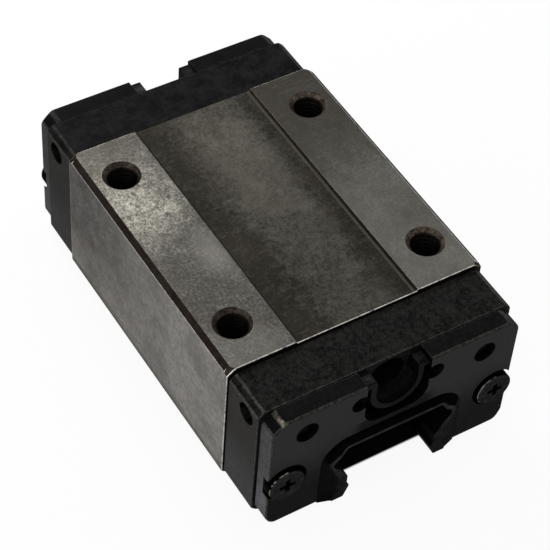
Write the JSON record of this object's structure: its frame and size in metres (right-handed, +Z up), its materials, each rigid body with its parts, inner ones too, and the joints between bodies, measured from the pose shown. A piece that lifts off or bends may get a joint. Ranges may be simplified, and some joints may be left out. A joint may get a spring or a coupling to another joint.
{
  "type": "linear bearing",
  "caption": "Block carriage that glides on a straight profile rail on recirculating balls, with tapped mounting lands on top and sealed plastic caps at both ends.",
  "frame": {"origin": "under the middle of the carriage, level with the feet of its end caps", "axes": "+X along the rail towards the front end, +Z up out of the mounting lands, +Y across to the right side"},
  "size_m": [0.0696, 0.042, 0.0232],
  "materials": {
    "ground_steel": "ground bearing steel, worn and speckled",
    "cap_plastic": "moulded charcoal plastic, dusty",
    "guide_plastic": "moulded dark plastic",
    "seal_steel": "black coated plate, satin",
    "seal_rubber": "black seal rubber",
    "screw_steel": "dark oxide screw steel, edges worn bright",
    "ball_steel": "polished bearing balls",
    "retainer_plastic": "moulded dark plastic"
  },
  "bodies": {
    "carriage": {"carriage_block": "ground_steel", "ball_retainer_top": "retainer_plastic", "ball_retainer_middle_left": "retainer_plastic", "ball_retainer_lower_left": "retainer_plastic", "bottom_seal_left": "seal_rubber", "ball_retainer_middle_right": "retainer_plastic", "ball_retainer_lower_right": "retainer_plastic", "bottom_seal_right": "seal_rubber", "end_cap_front": "cap_plastic", "seal_plate_front": "seal_steel", "seal_lip_front": "seal_rubber", "return_guide_front_left": "guide_plastic", "end_screw_front_left": "screw_steel", "return_guide_front_right": "guide_plastic", "end_screw_front_right": "screw_steel", "end_cap_rear": "cap_plastic", "seal_plate_rear": "seal_steel", "seal_lip_rear": "seal_rubber", "return_guide_rear_left": "guide_plastic", "end_screw_rear_left": "screw_steel", "return_guide_rear_right": "guide_plastic", "end_screw_rear_right": "screw_steel"},
    "loaded_balls_upper_left": {"loaded_balls_upper_left": "ball_steel"},
    "return_balls_upper_left": {"return_balls_upper_left": "ball_steel"},
    "turn_balls_front_upper_left": {"turn_balls_front_upper_left": "ball_steel"},
    "turn_balls_rear_upper_left": {"turn_balls_rear_upper_left": "ball_steel"},
    "loaded_balls_lower_left": {"loaded_balls_lower_left": "ball_steel"},
    "return_balls_lower_left": {"return_balls_lower_left": "ball_steel"},
    "turn_balls_front_lower_left": {"turn_balls_front_lower_left": "ball_steel"},
    "turn_balls_rear_lower_left": {"turn_balls_rear_lower_left": "ball_steel"},
    "loaded_balls_upper_right": {"loaded_balls_upper_right": "ball_steel"},
    "return_balls_upper_right": {"return_balls_upper_right": "ball_steel"},
    "turn_balls_front_upper_right": {"turn_balls_front_upper_right": "ball_steel"},
    "turn_balls_rear_upper_right": {"turn_balls_rear_upper_right": "ball_steel"},
    "loaded_balls_lower_right": {"loaded_balls_lower_right": "ball_steel"},
    "return_balls_lower_right": {"return_balls_lower_right": "ball_steel"},
    "turn_balls_front_lower_right": {"turn_balls_front_lower_right": "ball_steel"},
    "turn_balls_rear_lower_right": {"turn_balls_rear_lower_right": "ball_steel"}
  },
  "joints": [
    {"name": "loaded_run_upper_left", "type": "slide", "parent": "carriage", "child": "loaded_balls_upper_left", "axis": [1, 0, 0], "range_m": [-0.00172, 0.00172]},
    {"name": "return_run_upper_left", "type": "slide", "parent": "carriage", "child": "return_balls_upper_left", "axis": [1, 0, 0], "range_m": [-0.00172, 0.00172]},
    {"name": "turn_front_upper_left", "type": "hinge", "parent": "carriage", "child": "turn_balls_front_upper_left", "pos_m": [0.02414, -0.01358, 0.01199], "axis": [0, -0.2588, -0.9659], "range_deg": [-30, 30]},
    {"name": "turn_rear_upper_left", "type": "hinge", "parent": "carriage", "child": "turn_balls_rear_upper_left", "pos_m": [-0.02414, -0.01358, 0.01199], "axis": [0, -0.2588, -0.9659], "range_deg": [-30, 30]},
    {"name": "loaded_run_lower_left", "type": "slide", "parent": "carriage", "child": "loaded_balls_lower_left", "axis": [1, 0, 0], "range_m": [-0.00172, 0.00172]},
    {"name": "return_run_lower_left", "type": "slide", "parent": "carriage", "child": "return_balls_lower_left", "axis": [1, 0, 0], "range_m": [-0.00172, 0.00172]},
    {"name": "turn_front_lower_left", "type": "hinge", "parent": "carriage", "child": "turn_balls_front_lower_left", "pos_m": [0.02414, -0.01358, 0.00481], "axis": [0, 0.2588, -0.9659], "range_deg": [-30, 30]},
    {"name": "turn_rear_lower_left", "type": "hinge", "parent": "carriage", "child": "turn_balls_rear_lower_left", "pos_m": [-0.02414, -0.01358, 0.00481], "axis": [0, 0.2588, -0.9659], "range_deg": [-30, 30]},
    {"name": "loaded_run_upper_right", "type": "slide", "parent": "carriage", "child": "loaded_balls_upper_right", "axis": [1, 0, 0], "range_m": [-0.00172, 0.00172]},
    {"name": "return_run_upper_right", "type": "slide", "parent": "carriage", "child": "return_balls_upper_right", "axis": [1, 0, 0], "range_m": [-0.00172, 0.00172]},
    {"name": "turn_front_upper_right", "type": "hinge", "parent": "carriage", "child": "turn_balls_front_upper_right", "pos_m": [0.02414, 0.01358, 0.01199], "axis": [0, -0.2588, 0.9659], "range_deg": [-30, 30]},
    {"name": "turn_rear_upper_right", "type": "hinge", "parent": "carriage", "child": "turn_balls_rear_upper_right", "pos_m": [-0.02414, 0.01358, 0.01199], "axis": [0, -0.2588, 0.9659], "range_deg": [-30, 30]},
    {"name": "loaded_run_lower_right", "type": "slide", "parent": "carriage", "child": "loaded_balls_lower_right", "axis": [1, 0, 0], "range_m": [-0.00172, 0.00172]},
    {"name": "return_run_lower_right", "type": "slide", "parent": "carriage", "child": "return_balls_lower_right", "axis": [1, 0, 0], "range_m": [-0.00172, 0.00172]},
    {"name": "turn_front_lower_right", "type": "hinge", "parent": "carriage", "child": "turn_balls_front_lower_right", "pos_m": [0.02414, 0.01358, 0.00481], "axis": [0, 0.2588, 0.9659], "range_deg": [-30, 30]},
    {"name": "turn_rear_lower_right", "type": "hinge", "parent": "carriage", "child": "turn_balls_rear_lower_right", "pos_m": [-0.02414, 0.01358, 0.00481], "axis": [0, 0.2588, 0.9659], "range_deg": [-30, 30]}
  ],
  "couplings": [
    {"joint": "return_run_upper_left", "follows": "loaded_run_upper_left", "ratio": -1},
    {"joint": "turn_front_upper_left", "follows": "loaded_run_upper_left", "rad_per_m": 303.69},
    {"joint": "turn_rear_upper_left", "follows": "loaded_run_upper_left", "rad_per_m": 303.69},
    {"joint": "return_run_lower_left", "follows": "loaded_run_lower_left", "ratio": -1},
    {"joint": "turn_front_lower_left", "follows": "loaded_run_lower_left", "rad_per_m": 303.69},
    {"joint": "turn_rear_lower_left", "follows": "loaded_run_lower_left", "rad_per_m": 303.69},
    {"joint": "return_run_upper_right", "follows": "loaded_run_upper_right", "ratio": -1},
    {"joint": "turn_front_upper_right", "follows": "loaded_run_upper_right", "rad_per_m": 303.69},
    {"joint": "turn_rear_upper_right", "follows": "loaded_run_upper_right", "rad_per_m": 303.69},
    {"joint": "return_run_lower_right", "follows": "loaded_run_lower_right", "ratio": -1},
    {"joint": "turn_front_lower_right", "follows": "loaded_run_lower_right", "rad_per_m": 303.69},
    {"joint": "turn_rear_lower_right", "follows": "loaded_run_lower_right", "rad_per_m": 303.69}
  ]
}
